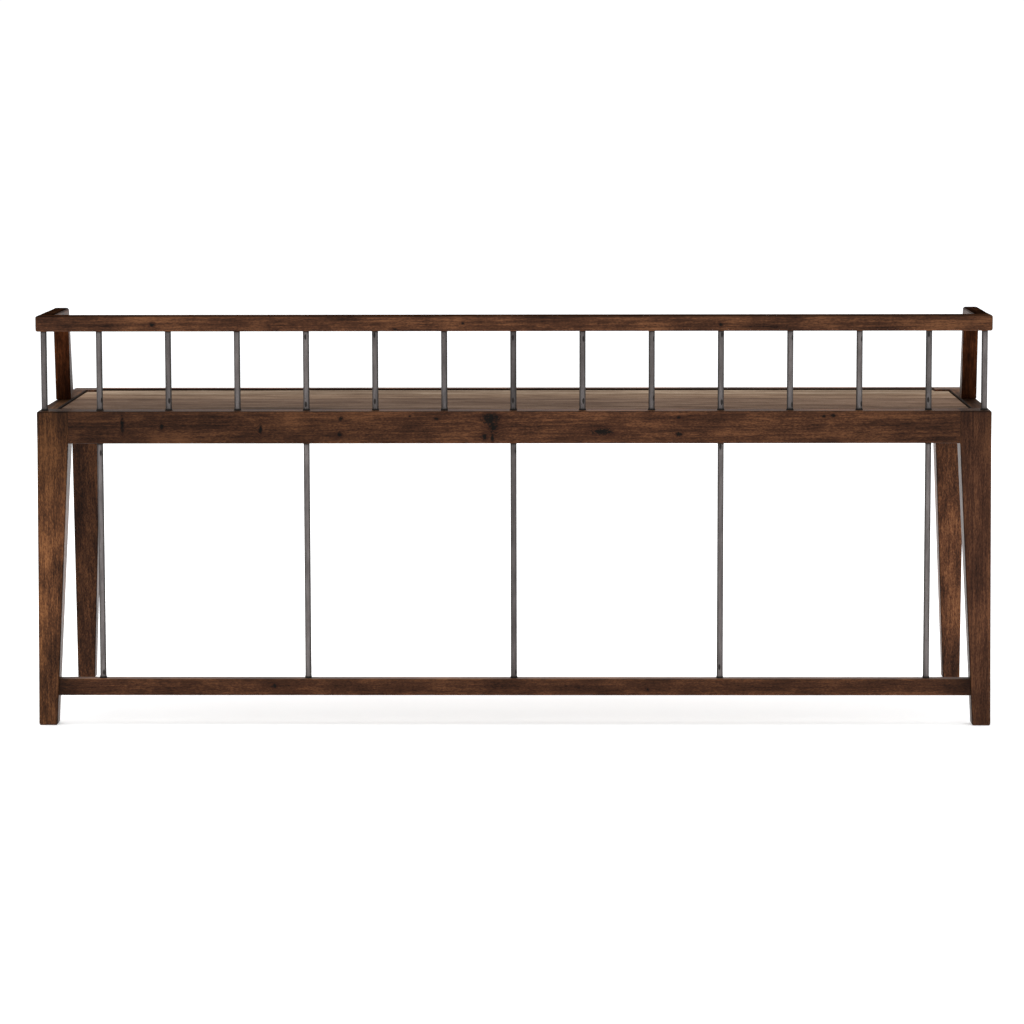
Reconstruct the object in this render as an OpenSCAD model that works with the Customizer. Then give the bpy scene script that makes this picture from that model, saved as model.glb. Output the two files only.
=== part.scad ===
// Entryway bench with a low back of iron spindles.
// X runs along the seat, -Y is the front and Z is up. Left and right are as seen from the front,
// so left is -X. The origin is on the floor, under the middle of the bench's outer box.
// Pieces are drawn from the back face forward: "in" a module, Y is the distance from that face.

/* [Seat frame] */
// Length of the seat frame over its side rails
bench_w = 1524; // [1200:1:1900]
// Depth of the seat frame from its back face to its front face
seat_d = 467; // [380:1:600]
// Height of the seat frame's top above the floor
seat_h = 508; // [400:1:640]
// Height of the four rails of the seat frame
frame_h = 52; // [43:1:70]
// Thickness of the rear seat rail
rear_t = 38; // [32:1:45]
// Thickness of the front seat rail
front_t = 22; // [18:1:32]
// Thickness of the side seat rails
side_t = 26; // [25:1:34]

/* [Seat boards] */
// Number of boards across the seat
board_n = 5; // [4:1:6]
// Thickness of the seat boards
board_t = 18; // [14:1:20]
// Depth of the boards' top below the frame's top
board_recess = 3; // [0:0.5:5]
// Clearance between the boards and the frame or legs around them
board_gap = 1.5; // [0.5:0.1:2]

/* [Legs] */
// Width and depth of a leg beside the seat frame
leg_top = 50; // [41:1:60]
// Width and depth of a leg at the floor
leg_foot = 30; // [24:1:40]
// Distance that a foot stands outside the side rail
leg_splay = 4; // [0:1:12]
// Distance that a front foot stands ahead of the seat frame
leg_rake = 45; // [20:1:70]

/* [Back] */
// Clear height from the seat frame's top to the top rail
back_gap = 127.5; // [100:0.5:180]
// Height of the top rail and of the arms
rail_h = 25; // [20:0.5:32]
// Depth of the top rail from back to front
rail_d = 34; // [30:1:40]
// Distance from the bench's back face to the line of the spindles
spindle_in = 17; // [14:1:19]
// Number of spindles, two end ones and the even row between them
spindle_n = 15; // [11:1:15]
// Distance from a side face to the first spindle of the even row
row_margin = 99.6; // [80:0.2:140]
// Distance from a side face to an end spindle
end_margin = 11; // [9:0.5:14]
// Depth of a spindle's socket in the top rail
rail_socket = 16; // [10:1:18]
// Depth of a spindle's socket in the seat frame
seat_socket = 20; // [12:1:24]

/* [Arms] */
// Width of an arm and of its post
arm_w = 25; // [22:1:28]
// Distance from the back face to the rear face of a post's base
post_in = 229; // [180:1:260]
// Depth of a post's base
post_base = 37; // [30:1:48]
// Depth of a post under the arm
post_top = 20; // [17:1:26]
// Distance that a post's rear face leans back on its way up
post_lean = 16.5; // [5:0.5:30]

/* [Stretcher and rods] */
// Height of the stretcher's underside above the floor
stretcher_z = 49; // [30:1:120]
// Height of the stretcher
stretcher_h = 27; // [22:1:36]
// Depth of the stretcher from back to front
stretcher_d = 22; // [20:1:26]
// Distance from the back face to the line of the lower rods
rod_in = 12; // [10:0.5:13]
// Number of spindle places from one lower rod to the next
rod_step = 3; // [3:1:3]
// Diameter of the spindles and rods
rod_d = 10; // [8:0.1:11.5]
// Depth of a rod's sockets in the seat frame and the stretcher
rod_socket = 15; // [10:1:18]

/* [Joinery] */
// Clearance on each side of a tenon in its mortise
tenon_gap = 0.2; // [0.1:0.05:0.4]
// Clearance beyond the end of a tenon, dowel or rod in its hole
end_gap = 1; // [0.5:0.5:2]
// Radial clearance of a rod, screw or bolt in its hole
hole_gap = 0.1; // [0.05:0.05:0.3]
// Shoulder above and below a seat rail's tenon
rail_shoulder = 10; // [6:1:14]
// Thickness of the rear rail's tenons
rear_tenon = 12; // [8:1:14]
// Thickness of the front rail's tenons
front_tenon = 8; // [6:1:10]
// Thickness of the side rails' tenons
side_tenon = 10; // [8:1:12]
// Wood left between two mortises, or a mortise and a socket
web = 4; // [3:0.5:6]
// Thickness and shoulder of the smaller tenons of the stretcher, arms and posts
small_tenon = 10; // [8:1:12]
// Length of the stretcher's tenons
stretcher_tenon = 16; // [10:1:18]
// Length of the arms' tenons in the top rail
arm_tenon = 10; // [6:1:11]
// Length of a post's upper tenon in the arm
post_head = 14; // [8:1:16]
// Length of a post's lower tenon in the side rail
post_foot = 30; // [20:1:34]

/* [Under the seat] */
// Height of the cleats that carry the boards
cleat_h = 20; // [16:1:22]
// Thickness of the cleats
cleat_t = 20; // [16:1:24]
// Length of a corner block along each rail
block_leg = 78; // [70:1:90]
// Number of battens under the boards
batten_n = 3; // [2:1:4]
// Width of a batten
batten_w = 40; // [30:1:60]
// Thickness of a batten
batten_t = 18; // [14:1:22]
// Distance from the corner blocks' underside to the rails' underside
block_up = 5; // [2:1:8]

/* [Screws] */
// Diameter of the screws
screw_d = 4; // [3:0.5:5]
// Diameter of the screws' heads
screw_head = 8; // [6:0.5:9]
// Height of the screws' heads
screw_head_h = 3; // [2:0.5:4]
// Length of a screw in the piece that it bites
screw_bite = 12; // [8:1:13]
// Number of screws in a long cleat
cleat_screws_n = 4; // [3:1:6]
// Diameter of the corner bolts
bolt_d = 6; // [5:0.5:8]
// Diameter of the corner bolts' heads
bolt_head = 12; // [10:1:14]
// Height of the corner bolts' heads
bolt_head_h = 5; // [4:0.5:6]
// Length of a corner bolt in its leg
bolt_bite = 22; // [14:1:24]

/* [Hidden] */
$fn = 48;
// Extra length on cuts that run out through a face
cut = 5;
half_w = bench_w / 2;
y_back = (seat_d + leg_rake) / 2;
frame_z = seat_h - frame_h;
rail_z = seat_h + back_gap;
rail_top = rail_z + rail_h;
board_z = seat_h - board_recess - board_t;
side_in = half_w - side_t;
leg_in = half_w - leg_top;
front_in = seat_d - front_t;
stretcher_top = stretcher_z + stretcher_h;

row_n = spindle_n - 2;
spindle_pitch = (bench_w - 2 * row_margin) / (row_n - 1);
row_mid = (spindle_n + 1) / 2;
rod_n = floor((row_n - 1) / rod_step) + 1;
rod_mid = (rod_n + 1) / 2;

// A leg tenon of the rear or front rail stops short of the side rail's mortise
long_tenon = leg_top - side_t / 2 - side_tenon / 2 - web;
// A side rail's tenon stops short of the end spindle's socket
short_tenon = leg_top - spindle_in - rod_d / 2 - web;
arm_mid = half_w - arm_w / 2;
post_rear_top = post_in - post_lean;
post_front_top = post_rear_top + post_top;
front_slope = (post_in + post_base - post_front_top) / back_gap;
arm_reach = post_front_top - front_slope * rail_h;
foot_tenon = post_base - small_tenon;

board_w = (front_in - rear_t - 2 * board_gap) / board_n;
cleat_end = side_in - block_leg - board_gap;
// The side cleats carry the boards between the outer two, as far as the corner blocks let them
side_cleat_0 = max(rear_t + block_leg, rear_t + board_gap + board_w) + board_gap;
side_cleat_1 = min(front_in - block_leg, front_in - board_gap - board_w) - board_gap;
batten_step = 2 * cleat_end / (batten_n + 1);
block_h = board_z - frame_z - block_up;
screw_z = board_z - cleat_h / 2;
bolt_z = board_z - block_h / 2;
hole_d = screw_d + 2 * hole_gap;
head_hole = screw_head + 2 * hole_gap;
socket_d = rod_d + 2 * hole_gap;

wood = [0.27, 0.17, 0.12];
wood_dark = [0.20, 0.12, 0.09];
wood_seat = [0.40, 0.31, 0.26];
wood_plain = [0.62, 0.50, 0.36];
iron = [0.42, 0.41, 0.41];
zinc = [0.70, 0.70, 0.72];

function two(i) = str(i < 10 ? "0" : "", i);
function spindle_x(i) =
    i == 1 ? -(half_w - end_margin)
    : i == spindle_n ? half_w - end_margin
    : (i - row_mid) * spindle_pitch;
function rod_x(i) = (i - rod_mid) * rod_step * spindle_pitch;
function batten_x(i) = (i - (batten_n + 1) / 2) * batten_step;
function board_y(i) = rear_t + board_gap + (i - 1) * board_w;
function cleat_screw_x(i) = -cleat_end + (i - 0.5) * 2 * cleat_end / cleat_screws_n;
function side_screw_y(i) = side_cleat_0 + (i - 0.5) * (side_cleat_1 - side_cleat_0) / 2;
// Inner face of a leg at height z, measured along X
function leg_face(z) =
    leg_in + (leg_top + leg_splay - leg_foot) * max(0, frame_z - z) / frame_z;

// ---- helpers ----

// Puts a piece, drawn from the back face forward, in the bench's own frame
module place() {
    translate([0, y_back, 0]) mirror([0, 1, 0]) children();
}

// Draws the right-hand piece when s is 1 and its mirror image when s is -1
module hand(s) {
    mirror([s < 0 ? 1 : 0, 0, 0]) children();
}

// Box between two corners
module block(lo, hi) {
    translate(lo) cube(hi - lo);
}

// Box between two corners, grown by g in X, Y and Z
module grown(lo, hi, g) {
    block(lo - g, hi + g);
}

// Profile in Y and Z, extruded along X from x0 to x1
module side_profile(points, x0, x1) {
    translate([x0, 0, 0]) rotate([90, 0, 90]) linear_extrude(x1 - x0) polygon(points);
}

// Profile in X and Z, extruded along Y from y0 to y1
module face_profile(points, y0, y1) {
    translate([0, y1, 0]) rotate([90, 0, 0]) linear_extrude(y1 - y0) polygon(points);
}

// ---- joinery, drawn for the right-hand side; g grows a tenon into its mortise ----

module long_rail_tenon(mid_y, t, g, e) {
    grown(
        [leg_in - cut, mid_y - t / 2, frame_z + rail_shoulder],
        [leg_in + long_tenon + e - g.x, mid_y + t / 2, seat_h - rail_shoulder],
        g
    );
}

module rear_rail_tenon(g = [0, 0, 0], e = 0) {
    long_rail_tenon(rear_t / 2, rear_tenon, g, e);
}

module front_rail_tenon(g = [0, 0, 0], e = 0) {
    long_rail_tenon(seat_d - front_t / 2, front_tenon, g, e);
}

module side_rail_tenons(g = [0, 0, 0], e = 0) {
    mid_x = half_w - side_t / 2;
    grown(
        [mid_x - side_tenon / 2, leg_top - short_tenon - e + g.y, frame_z + rail_shoulder],
        [mid_x + side_tenon / 2, seat_d - leg_top + short_tenon + e - g.y, seat_h - rail_shoulder],
        g
    );
}

module stretcher_end_tenon(g = [0, 0, 0], e = 0) {
    grown(
        [
            leg_face(stretcher_top) - cut,
            (stretcher_d - small_tenon) / 2,
            stretcher_z + (stretcher_h - small_tenon) / 2
        ],
        [
            leg_face(stretcher_z) + stretcher_tenon + e - g.x,
            (stretcher_d + small_tenon) / 2,
            stretcher_z + (stretcher_h + small_tenon) / 2
        ],
        g
    );
}

module arm_rear_tenon(g = [0, 0, 0], e = 0) {
    grown(
        [arm_mid - small_tenon / 2, rail_d - arm_tenon - e + g.y, rail_z + (rail_h - small_tenon) / 2],
        [arm_mid + small_tenon / 2, rail_d + cut, rail_z + (rail_h + small_tenon) / 2],
        g
    );
}

module post_head_tenon(g = [0, 0, 0], e = 0) {
    mid_y = (post_rear_top + post_front_top) / 2;
    grown(
        [arm_mid - small_tenon / 2, mid_y - small_tenon / 2, rail_z - cut],
        [arm_mid + small_tenon / 2, mid_y + small_tenon / 2, rail_z + post_head + e - g.z],
        g
    );
}

module post_foot_tenon(g = [0, 0, 0], e = 0) {
    mid_y = post_in + post_base / 2;
    grown(
        [arm_mid - small_tenon / 2, mid_y - foot_tenon / 2, seat_h - post_foot - e + g.z],
        [arm_mid + small_tenon / 2, mid_y + foot_tenon / 2, seat_h + cut],
        g
    );
}

tenon_fit = [tenon_gap, tenon_gap, tenon_gap];

// ---- sockets and screw holes ----

// Blind sockets of the spindles in the seat frame, open at its top
module seat_sockets() {
    for (i = [1:spindle_n])
        translate([spindle_x(i), spindle_in, seat_h - seat_socket])
            cylinder(d = socket_d, h = seat_socket + cut);
}

// Blind sockets of the spindles in the top rail, open at its underside
module rail_sockets() {
    for (i = [1:spindle_n])
        translate([spindle_x(i), spindle_in, rail_z - cut])
            cylinder(d = socket_d, h = rail_socket + cut);
}

// Blind sockets of the lower rods in the seat rail and in the stretcher
module rod_sockets() {
    for (i = [1:rod_n]) {
        translate([rod_x(i), rod_in, frame_z - cut])
            cylinder(d = socket_d, h = rod_socket + cut);
        translate([rod_x(i), rod_in, stretcher_top - rod_socket])
            cylinder(d = socket_d, h = rod_socket + cut);
    }
}

// Screw along +Z: its head's top face at z = 0, its point at z = -reach
module screw(reach, g = 0) {
    translate([0, 0, -screw_head_h - g]) cylinder(d = screw_head + 2 * g, h = screw_head_h + g);
    translate([0, 0, -reach - g]) cylinder(d = screw_d + 2 * g, h = reach + g);
}

// Puts a screw at each place where a cleat meets its rail
module at_cleat_screws() {
    for (i = [1:cleat_screws_n]) {
        translate([cleat_screw_x(i), rear_t + cleat_t, screw_z]) rotate([-90, 0, 0]) children();
        translate([cleat_screw_x(i), front_in - cleat_t, screw_z]) rotate([90, 0, 0]) children();
    }
    for (s = [-1, 1], i = [1:2])
        hand(s) translate([side_in - cleat_t, side_screw_y(i), screw_z]) rotate([0, -90, 0]) children();
}

// Puts a screw under each board at each batten
module at_batten_screws() {
    for (i = [1:batten_n], j = [1:board_n])
        translate([batten_x(i), board_y(j) + board_w / 2, board_z - batten_t])
            rotate([180, 0, 0]) children();
}

// Places the right rear corner bolt's frame: origin on the leg's inner corner, +Z out of the leg
module at_rear_bolt() {
    translate([leg_in, leg_top, bolt_z]) rotate([0, 0, 135]) rotate([0, 90, 0]) children();
}

// Places the right front corner bolt's frame in the same way
module at_front_bolt() {
    translate([leg_in, seat_d - leg_top, bolt_z]) rotate([0, 0, -135]) rotate([0, 90, 0]) children();
}

// Thickness of a corner block along its bolt, where inset is the leg's reach past the long rail
function block_depth(inset) = (block_leg - side_step - inset) / sqrt(2);
side_step = leg_top - side_t;
rear_depth = block_depth(leg_top - rear_t);
front_depth = block_depth(leg_top - front_t);

// Corner bolt along +Z: shank from the leg to the block's face, and the head on that face
module bolt(depth) {
    translate([0, 0, -bolt_bite]) cylinder(d = bolt_d, h = bolt_bite + depth);
    translate([0, 0, depth]) cylinder(d = bolt_head, h = bolt_head_h, $fn = 6);
}

module bolt_hole() {
    translate([0, 0, -bolt_bite - end_gap])
        cylinder(d = bolt_d + 2 * hole_gap, h = bolt_bite + end_gap + block_leg);
}

// ---- legs ----

leg_face_points = [
    [leg_in, seat_h],
    [half_w, seat_h],
    [half_w, frame_z],
    [half_w + leg_splay, 0],
    [half_w + leg_splay - leg_foot, 0],
    [leg_in, frame_z]
];
rear_side_points = [
    [0, seat_h],
    [leg_top, seat_h],
    [leg_top, frame_z],
    [leg_foot, 0],
    [0, 0]
];
front_side_points = [
    [seat_d - leg_top, seat_h],
    [seat_d, seat_h],
    [seat_d, frame_z],
    [seat_d + leg_rake, 0],
    [seat_d + leg_rake - leg_foot, 0],
    [seat_d - leg_top, frame_z]
];

module leg_blank(side_points, y0, y1) {
    intersection() {
        face_profile(leg_face_points, y0, y1);
        side_profile(side_points, leg_in - cut, half_w + leg_splay + cut);
    }
}

module rear_leg(s) {
    color(wood) place() hand(s) difference() {
        leg_blank(rear_side_points, -cut, leg_top + cut);
        rear_rail_tenon(tenon_fit, end_gap);
        side_rail_tenons(tenon_fit, end_gap);
        stretcher_end_tenon(tenon_fit, end_gap);
        at_rear_bolt() bolt_hole();
        seat_sockets();
    }
}

module front_leg(s) {
    color(wood) place() hand(s) difference() {
        leg_blank(front_side_points, seat_d - leg_top - cut, seat_d + leg_rake + cut);
        front_rail_tenon(tenon_fit, end_gap);
        side_rail_tenons(tenon_fit, end_gap);
        at_front_bolt() bolt_hole();
    }
}

// ---- seat frame ----

module rear_rail() {
    color(wood) place() difference() {
        union() {
            block([-leg_in, 0, frame_z], [leg_in, rear_t, seat_h]);
            for (s = [-1, 1]) hand(s) rear_rail_tenon();
        }
        seat_sockets();
        rod_sockets();
        at_cleat_screws() screw(cleat_t + screw_bite, hole_gap);
        for (s = [-1, 1]) hand(s) at_rear_bolt() bolt_hole();
    }
}

module front_rail() {
    color(wood) place() difference() {
        union() {
            block([-leg_in, front_in, frame_z], [leg_in, seat_d, seat_h]);
            for (s = [-1, 1]) hand(s) front_rail_tenon();
        }
        at_cleat_screws() screw(cleat_t + screw_bite, hole_gap);
        for (s = [-1, 1]) hand(s) at_front_bolt() bolt_hole();
    }
}

module side_rail(s) {
    color(wood) place() hand(s) difference() {
        union() {
            block([side_in, leg_top, frame_z], [half_w, seat_d - leg_top, seat_h]);
            side_rail_tenons();
        }
        post_foot_tenon(tenon_fit, end_gap);
        at_cleat_screws() screw(cleat_t + screw_bite, hole_gap);
    }
}

module stretcher() {
    ends = [
        [leg_face(stretcher_z), stretcher_z],
        [leg_face(stretcher_top), stretcher_top]
    ];
    color(wood) place() difference() {
        union() {
            face_profile(
                concat(ends, [for (i = [1, 0]) [-ends[i].x, ends[i].y]]),
                0, stretcher_d
            );
            for (s = [-1, 1]) hand(s) stretcher_end_tenon();
        }
        rod_sockets();
    }
}

// ---- back ----

module top_rail() {
    color(wood) place() difference() {
        block([-half_w, 0, rail_z], [half_w, rail_d, rail_top]);
        rail_sockets();
        for (s = [-1, 1]) hand(s) arm_rear_tenon(tenon_fit, end_gap);
    }
}

module arm(s) {
    points = [
        [rail_d, rail_z],
        [post_front_top, rail_z],
        [arm_reach, rail_top],
        [rail_d, rail_top]
    ];
    color(wood_dark) place() hand(s) difference() {
        union() {
            side_profile(points, half_w - arm_w, half_w);
            arm_rear_tenon();
        }
        post_head_tenon(tenon_fit, end_gap);
    }
}

module arm_post(s) {
    points = [
        [post_in, seat_h],
        [post_in + post_base, seat_h],
        [post_front_top, rail_z],
        [post_rear_top, rail_z]
    ];
    color(wood_dark) place() hand(s) {
        side_profile(points, half_w - arm_w, half_w);
        post_head_tenon();
        post_foot_tenon();
    }
}

module spindle(i) {
    color(iron) place()
        translate([spindle_x(i), spindle_in, seat_h - seat_socket + end_gap])
            cylinder(d = rod_d, h = back_gap + seat_socket + rail_socket - 2 * end_gap);
}

module lower_rod(i) {
    color(iron) place()
        translate([rod_x(i), rod_in, stretcher_top - rod_socket + end_gap])
            cylinder(d = rod_d, h = frame_z - stretcher_top + 2 * rod_socket - 2 * end_gap);
}

// ---- seat ----

module seat_board(i) {
    color(wood_seat) place() difference() {
        block(
            [-side_in + board_gap, board_y(i), board_z],
            [side_in - board_gap, board_y(i) + board_w, board_z + board_t]
        );
        for (s = [-1, 1]) hand(s) {
            block(
                [leg_in - board_gap, 0, board_z - cut],
                [half_w, leg_top + board_gap, seat_h]
            );
            block(
                [leg_in - board_gap, seat_d - leg_top - board_gap, board_z - cut],
                [half_w, seat_d, seat_h]
            );
        }
        at_batten_screws() screw(batten_t + screw_bite, hole_gap);
    }
}

module seat_batten(i) {
    color(wood_plain) place() difference() {
        block(
            [batten_x(i) - batten_w / 2, rear_t + cleat_t + board_gap, board_z - batten_t],
            [batten_x(i) + batten_w / 2, front_in - cleat_t - board_gap, board_z]
        );
        at_batten_screws() screw(batten_t + screw_bite, hole_gap);
    }
}

module long_cleat(y0) {
    color(wood_plain) place() difference() {
        block([-cleat_end, y0, board_z - cleat_h], [cleat_end, y0 + cleat_t, board_z]);
        at_cleat_screws() screw(cleat_t + screw_bite, hole_gap);
    }
}

module side_cleat(s) {
    color(wood_plain) place() hand(s) difference() {
        block(
            [side_in - cleat_t, side_cleat_0, board_z - cleat_h],
            [side_in, side_cleat_1, board_z]
        );
        at_cleat_screws() screw(cleat_t + screw_bite, hole_gap);
    }
}

module rear_block(s) {
    points = [
        [side_in - block_leg, rear_t],
        [leg_in, rear_t],
        [leg_in, leg_top],
        [side_in, leg_top],
        [side_in, rear_t + block_leg]
    ];
    color(wood_plain) place() hand(s) difference() {
        translate([0, 0, board_z - block_h]) linear_extrude(block_h) polygon(points);
        at_rear_bolt() bolt_hole();
    }
}

module front_block(s) {
    points = [
        [side_in - block_leg, front_in],
        [leg_in, front_in],
        [leg_in, seat_d - leg_top],
        [side_in, seat_d - leg_top],
        [side_in, front_in - block_leg]
    ];
    color(wood_plain) place() hand(s) difference() {
        translate([0, 0, board_z - block_h]) linear_extrude(block_h) polygon(points);
        at_front_bolt() bolt_hole();
    }
}

// ---- fasteners ----

module corner_bolts() {
    color(zinc) place() for (s = [-1, 1]) hand(s) {
        at_rear_bolt() bolt(rear_depth);
        at_front_bolt() bolt(front_depth);
    }
}

module cleat_screws() {
    color(zinc) place() at_cleat_screws() screw(cleat_t + screw_bite);
}

module batten_screws() {
    color(zinc) place() at_batten_screws() screw(batten_t + screw_bite);
}

// ---- the bench ----

rear_leg(-1);  // rear_leg_left
rear_leg(1);  // rear_leg_right
front_leg(-1);  // front_leg_left
front_leg(1);  // front_leg_right
rear_rail();
front_rail();
side_rail(-1);  // side_rail_left
side_rail(1);  // side_rail_right
stretcher();
top_rail();
arm(-1);  // arm_left
arm(1);  // arm_right
arm_post(-1);  // arm_post_left
arm_post(1);  // arm_post_right
for (i = [1:spindle_n]) spindle(i);
for (i = [1:rod_n]) lower_rod(i);
for (i = [1:board_n]) seat_board(i);
for (i = [1:batten_n]) seat_batten(i);
long_cleat(rear_t);  // cleat_rear
long_cleat(front_in - cleat_t);  // cleat_front
side_cleat(-1);  // cleat_left
side_cleat(1);  // cleat_right
rear_block(-1);  // block_rear_left
rear_block(1);  // block_rear_right
front_block(-1);  // block_front_left
front_block(1);  // block_front_right
corner_bolts();
cleat_screws();
batten_screws();
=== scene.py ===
"""Entryway bench in dark wood and round iron bars: its visual pieces, their finishes and a plain studio."""

import math
import random

import bmesh
import bpy
from mathutils import Matrix, Vector, noise


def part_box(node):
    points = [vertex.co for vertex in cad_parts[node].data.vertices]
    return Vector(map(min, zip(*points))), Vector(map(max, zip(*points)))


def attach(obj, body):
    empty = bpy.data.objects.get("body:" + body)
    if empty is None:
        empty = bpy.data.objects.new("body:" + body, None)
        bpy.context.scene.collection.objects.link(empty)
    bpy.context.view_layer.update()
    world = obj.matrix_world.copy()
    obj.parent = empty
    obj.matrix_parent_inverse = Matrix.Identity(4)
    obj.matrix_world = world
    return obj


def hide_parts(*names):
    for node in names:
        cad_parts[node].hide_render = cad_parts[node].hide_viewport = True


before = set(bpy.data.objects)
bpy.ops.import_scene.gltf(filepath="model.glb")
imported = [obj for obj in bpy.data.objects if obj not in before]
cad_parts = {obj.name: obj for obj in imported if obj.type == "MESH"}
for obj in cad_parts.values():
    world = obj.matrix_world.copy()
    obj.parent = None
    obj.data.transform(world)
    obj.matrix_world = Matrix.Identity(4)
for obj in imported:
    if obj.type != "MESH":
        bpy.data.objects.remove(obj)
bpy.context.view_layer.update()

bl_info = {
    "name": "Entryway Bench",
    "version": (1, 0, 0),
    "blender": (4, 5, 0),
    "location": "3D View > Sidebar > Bench",
    "description": "Builds a spindle-back entryway bench around its CAD frame",
    "category": "Object",
}

SIDES = (("left", -1), ("right", 1))
X, Y, Z = 0, 1, 2

# Points of the frame that are this near one place, in metres, are at it
TOUCHING = 0.0002
# Shaped wood, in metres: the most between two sections, the flat beside an edge, and the flat of an end
SECTION_STEP = 0.05
EDGE_LIP = 0.004
END_INSET = 0.004
# The rounding of a piece's free end, and the least that an edge can have
FREE_END = 0.0034
LEAST = 0.00004
# The ring of wax round the foot of each bar, dark with painted shade: how far it stands out, and how high it
# reaches
SHADE_RING = 0.0011
SHADE_RING_TOP = 0.0028
# How far the grain wanders, and how far apart the year rings are
GRAIN_SWAY = 0.0065
RING_PITCH = 0.0075
KNOT_HALO = (0.030, 0.0095, 0.0060)


# ---- sizes and colours that a user may change ----

COLOUR = {"min": 0.0, "max": 1.0, "size": 3, "subtype": "COLOR"}
LENGTH = {"subtype": "DISTANCE", "unit": "LENGTH"}


class BenchWood(bpy.types.PropertyGroup):
    """Finish of the frame, back and arms"""

    arris: bpy.props.FloatProperty(
        name="Eased Edge",
        description="Radius of the hand-eased edges of the frame",
        default=0.0024,
        min=0.0005,
        max=0.004,
        **LENGTH,
    )
    seam: bpy.props.FloatProperty(
        name="Seam",
        description="Radius left on an edge where two flush pieces meet",
        default=0.0004,
        min=0.0001,
        max=0.001,
        **LENGTH,
    )
    dark: bpy.props.FloatVectorProperty(
        name="Dark Grain",
        description="Colour of the darkest grain lines",
        default=(0.0185, 0.0080, 0.0050),
        **COLOUR,
    )
    middle: bpy.props.FloatVectorProperty(
        name="Stain",
        description="Colour of the stained wood between its grain lines",
        default=(0.075, 0.0295, 0.0148),
        **COLOUR,
    )
    light: bpy.props.FloatVectorProperty(
        name="Light Grain",
        description="Colour of the lightest streaks",
        default=(0.212, 0.0870, 0.0380),
        **COLOUR,
    )
    knot: bpy.props.FloatVectorProperty(
        name="Knots",
        description="Colour of the knots",
        default=(0.0055, 0.0050, 0.0042),
        **COLOUR,
    )
    roughness: bpy.props.FloatProperty(
        name="Roughness",
        description="Roughness of the satin lacquer",
        default=0.46,
        min=0.05,
        max=1.0,
        subtype="FACTOR",
    )


class BenchSeat(bpy.types.PropertyGroup):
    """Finish of the seat boards"""

    edge: bpy.props.FloatProperty(
        name="Board Edge",
        description="Radius of the boards' edges",
        default=0.0008,
        min=0.0002,
        max=0.003,
        **LENGTH,
    )
    dark: bpy.props.FloatVectorProperty(
        name="Dark Grain",
        description="Colour of the boards' dark grain lines",
        default=(0.045, 0.024, 0.015),
        **COLOUR,
    )
    middle: bpy.props.FloatVectorProperty(
        name="Stain",
        description="Colour of the boards between their grain lines",
        default=(0.105, 0.064, 0.042),
        **COLOUR,
    )
    light: bpy.props.FloatVectorProperty(
        name="Light Grain",
        description="Colour of the boards' lightest streaks",
        default=(0.180, 0.120, 0.085),
        **COLOUR,
    )
    roughness: bpy.props.FloatProperty(
        name="Roughness",
        description="Roughness of the boards' lacquer",
        default=0.70,
        min=0.05,
        max=1.0,
        subtype="FACTOR",
    )


class BenchIron(bpy.types.PropertyGroup):
    """Finish of the round bars"""

    colour: bpy.props.FloatVectorProperty(
        name="Iron",
        description="Colour of the waxed iron",
        default=(0.119, 0.107, 0.105),
        **COLOUR,
    )
    # Darkened, the scale colour also paints shade on the bars' sides and ends
    scale: bpy.props.FloatVectorProperty(
        name="Mill Scale",
        description="Colour of the dark scale and pits",
        default=(0.050, 0.044, 0.040),
        **COLOUR,
    )
    dent: bpy.props.FloatProperty(
        name="Unevenness",
        description="How far the drawn bar strays from a true cylinder",
        default=0.00004,
        min=0.0,
        max=0.0003,
        **LENGTH,
    )


class BenchStage(bpy.types.PropertyGroup):
    """Floor, light and camera"""

    floor: bpy.props.FloatVectorProperty(
        name="Floor",
        description="Colour of the studio floor",
        default=(0.915, 0.93, 0.945),
        **COLOUR,
    )
    floor_size: bpy.props.FloatProperty(
        name="Floor Size",
        description="Radius of the studio floor",
        default=120.0,
        min=5.0,
        max=400.0,
        **LENGTH,
    )
    lens: bpy.props.FloatProperty(
        name="Lens",
        description="Focal length of the studio camera",
        default=132.26,
        min=20.0,
        max=300.0,
        subtype="DISTANCE_CAMERA",
        unit="CAMERA",
    )


# ---- reading the frame ----


def level(node, height):
    """Box of a CAD node's points at one height, so that a taper's two ends can be read from it."""
    near = [v.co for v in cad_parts[node].data.vertices if abs(v.co.z - height) < 2 * TOUCHING]
    if not near:
        raise ValueError(f"{node} has no points at height {height:.4f}")
    return (
        Vector(min(c[i] for c in near) for i in range(3)),
        Vector(max(c[i] for c in near) for i in range(3)),
    )


def inner_face(height):
    """Distance from the middle of the bench to the legs' inner face, at a height below the rails."""
    foot = level("rear_leg_right", 0.0)[0].x
    rail_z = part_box("rear_rail")[0].z
    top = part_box("rear_leg_right")[0].x
    return foot + (top - foot) * height / rail_z


# ---- shaping wood ----


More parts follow.
